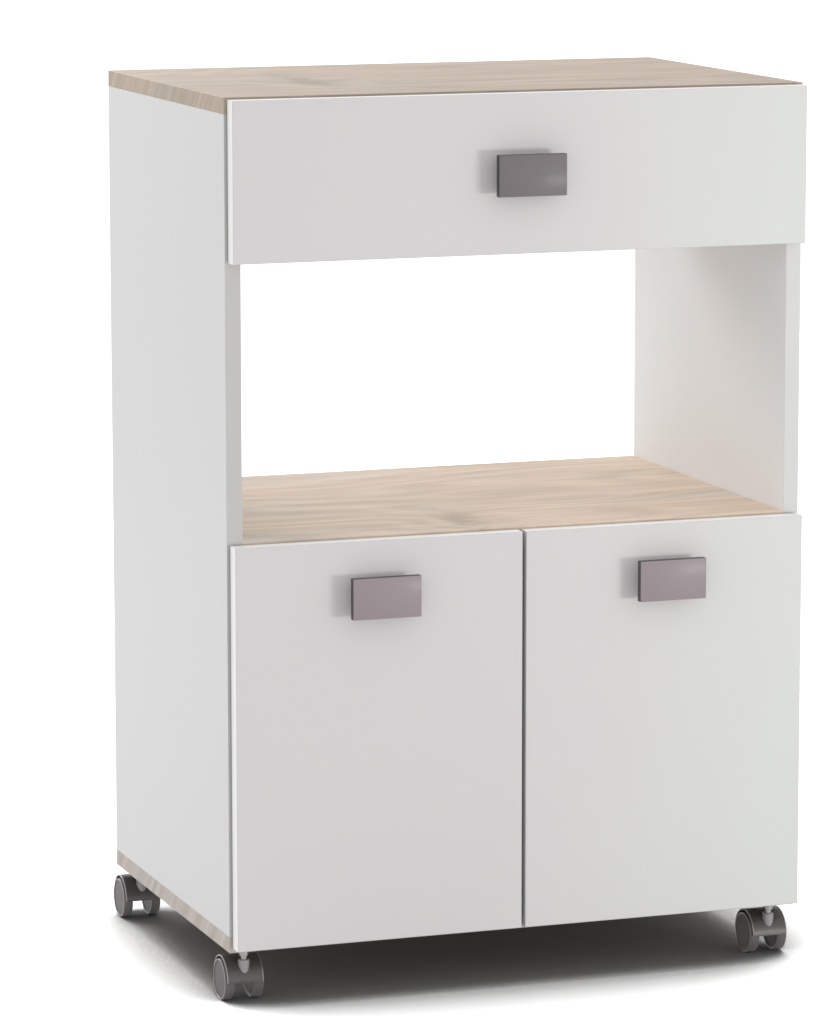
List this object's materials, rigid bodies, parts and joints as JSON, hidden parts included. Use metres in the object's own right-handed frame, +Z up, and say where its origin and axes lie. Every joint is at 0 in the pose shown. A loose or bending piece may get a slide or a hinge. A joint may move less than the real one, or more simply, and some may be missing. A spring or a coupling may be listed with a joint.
{
  "type": "microwave cart",
  "caption": "Kitchen cart on twin-wheel casters with an oak top, a drawer, an open niche for a microwave and a cupboard with double doors.",
  "frame": {"origin": "on the floor, under the middle of the overall width and overall depth", "axes": "+X to the right seen from the front, +Y to the back, +Z up; the drawer and doors face -Y"},
  "size_m": [0.6, 0.4564, 0.89],
  "materials": {
    "oak_board": "matt pale oak grain on particle board",
    "white_board": "satin white foil on particle board",
    "white_hardboard": "white painted hardboard",
    "zinc_steel": "zinc plated",
    "zinc_cast": "die-cast zinc, dull",
    "nickel_steel": "nickel plated",
    "bright_steel": "bright plated",
    "runner_enamel": "white baked enamel",
    "roller_steel": "turned steel",
    "handle_taupe": "satin taupe grey",
    "caster_hood": "dark gunmetal",
    "caster_wheel": "warm gunmetal"
  },
  "bodies": {
    "cabinet": {"top_panel": "oak_board", "bottom_panel": "oak_board", "side_panel_left": "white_board", "side_panel_right": "white_board", "microwave_shelf": "oak_board", "rear_rail": "white_board", "inner_shelf": "white_board", "back_panel": "white_hardboard", "shelf_pins": "zinc_steel", "cam_discs": "zinc_cast", "cam_bolts": "zinc_steel", "cabinet_runner_left": "runner_enamel", "cabinet_runner_right": "runner_enamel", "hinge_arms": "nickel_steel", "hinge_plates": "zinc_cast", "euro_screws": "zinc_steel", "insert_nuts": "zinc_steel", "caster_stems": "bright_steel"},
    "cabinet_roller_pair": {"cabinet_rollers": "roller_steel"},
    "drawer": {"drawer_front": "white_board", "drawer_side_left": "white_board", "drawer_side_right": "white_board", "drawer_back": "white_board", "drawer_bottom": "white_hardboard", "drawer_cams": "zinc_cast", "drawer_cam_bolts": "zinc_steel", "drawer_handle": "handle_taupe", "drawer_handle_screws": "zinc_steel", "drawer_runner_left": "runner_enamel", "drawer_runner_right": "runner_enamel", "drawer_runner_screws": "zinc_steel"},
    "drawer_roller_pair": {"drawer_rollers": "roller_steel"},
    "left_door": {"door_left": "white_board", "door_handle_left": "handle_taupe", "door_left_handle_screws": "zinc_steel", "hinge_cups_left": "nickel_steel"},
    "right_door": {"door_right": "white_board", "door_handle_right": "handle_taupe", "door_right_handle_screws": "zinc_steel", "hinge_cups_right": "nickel_steel"},
    "caster_front_left": {"caster_hood_front_left": "caster_hood", "caster_axle_front_left": "bright_steel"},
    "wheel_body_front_left_left": {"wheel_front_left_left": "caster_wheel"},
    "wheel_body_front_left_right": {"wheel_front_left_right": "caster_wheel"},
    "caster_front_right": {"caster_hood_front_right": "caster_hood", "caster_axle_front_right": "bright_steel"},
    "wheel_body_front_right_left": {"wheel_front_right_left": "caster_wheel"},
    "wheel_body_front_right_right": {"wheel_front_right_right": "caster_wheel"},
    "caster_rear_left": {"caster_hood_rear_left": "caster_hood", "caster_axle_rear_left": "bright_steel"},
    "wheel_body_rear_left_left": {"wheel_rear_left_left": "caster_wheel"},
    "wheel_body_rear_left_right": {"wheel_rear_left_right": "caster_wheel"},
    "caster_rear_right": {"caster_hood_rear_right": "caster_hood", "caster_axle_rear_right": "bright_steel"},
    "wheel_body_rear_right_left": {"wheel_rear_right_left": "caster_wheel"},
    "wheel_body_rear_right_right": {"wheel_rear_right_right": "caster_wheel"}
  },
  "joints": [
    {"name": "drawer_slide", "type": "slide", "parent": "cabinet", "child": "drawer", "axis": [0, -1, 0], "range_m": [0, 0.26]},
    {"name": "cabinet_roller_spin", "type": "hinge", "parent": "cabinet", "child": "cabinet_roller_pair", "pos_m": [0, -0.17225, 0.76215], "axis": [1, 0, 0], "range_deg": [-10, 1500]},
    {"name": "drawer_roller_spin", "type": "hinge", "parent": "drawer", "child": "drawer_roller_pair", "pos_m": [0, 0.14575, 0.76215], "axis": [1, 0, 0], "range_deg": [-10, 1500]},
    {"name": "left_door_hinge", "type": "hinge", "parent": "cabinet", "child": "left_door", "pos_m": [-0.2915, -0.19975, 0.25925], "axis": [0, 0, -1], "range_deg": [0, 100]},
    {"name": "right_door_hinge", "type": "hinge", "parent": "cabinet", "child": "right_door", "pos_m": [0.2915, -0.19975, 0.25925], "axis": [0, 0, 1], "range_deg": [0, 100]},
    {"name": "swivel_front_left", "type": "hinge", "parent": "cabinet", "child": "caster_front_left", "pos_m": [-0.28, -0.17125, 0.045], "axis": [0, 0, 1], "continuous": true},
    {"name": "roll_front_left_left", "type": "hinge", "parent": "caster_front_left", "child": "wheel_body_front_left_left", "pos_m": [-0.295, -0.15375, 0.0205], "axis": [1, 0, 0], "continuous": true},
    {"name": "roll_front_left_right", "type": "hinge", "parent": "caster_front_left", "child": "wheel_body_front_left_right", "pos_m": [-0.265, -0.15375, 0.0205], "axis": [1, 0, 0], "continuous": true},
    {"name": "swivel_front_right", "type": "hinge", "parent": "cabinet", "child": "caster_front_right", "pos_m": [0.28, -0.17125, 0.045], "axis": [0, 0, 1], "continuous": true},
    {"name": "roll_front_right_left", "type": "hinge", "parent": "caster_front_right", "child": "wheel_body_front_right_left", "pos_m": [0.265, -0.15375, 0.0205], "axis": [1, 0, 0], "continuous": true},
    {"name": "roll_front_right_right", "type": "hinge", "parent": "caster_front_right", "child": "wheel_body_front_right_right", "pos_m": [0.295, -0.15375, 0.0205], "axis": [1, 0, 0], "continuous": true},
    {"name": "swivel_rear_left", "type": "hinge", "parent": "cabinet", "child": "caster_rear_left", "pos_m": [-0.28, 0.18675, 0.045], "axis": [0, 0, 1], "continuous": true},
    {"name": "roll_rear_left_left", "type": "hinge", "parent": "caster_rear_left", "child": "wheel_body_rear_left_left", "pos_m": [-0.295, 0.20425, 0.0205], "axis": [1, 0, 0], "continuous": true},
    {"name": "roll_rear_left_right", "type": "hinge", "parent": "caster_rear_left", "child": "wheel_body_rear_left_right", "pos_m": [-0.265, 0.20425, 0.0205], "axis": [1, 0, 0], "continuous": true},
    {"name": "swivel_rear_right", "type": "hinge", "parent": "cabinet", "child": "caster_rear_right", "pos_m": [0.28, 0.18675, 0.045], "axis": [0, 0, 1], "continuous": true},
    {"name": "roll_rear_right_left", "type": "hinge", "parent": "caster_rear_right", "child": "wheel_body_rear_right_left", "pos_m": [0.265, 0.20425, 0.0205], "axis": [1, 0, 0], "continuous": true},
    {"name": "roll_rear_right_right", "type": "hinge", "parent": "caster_rear_right", "child": "wheel_body_rear_right_right", "pos_m": [0.295, 0.20425, 0.0205], "axis": [1, 0, 0], "continuous": true}
  ],
  "couplings": [
    {"joint": "cabinet_roller_spin", "follows": "drawer_slide", "rad_per_m": 100},
    {"joint": "drawer_roller_spin", "follows": "drawer_slide", "rad_per_m": 100}
  ]
}
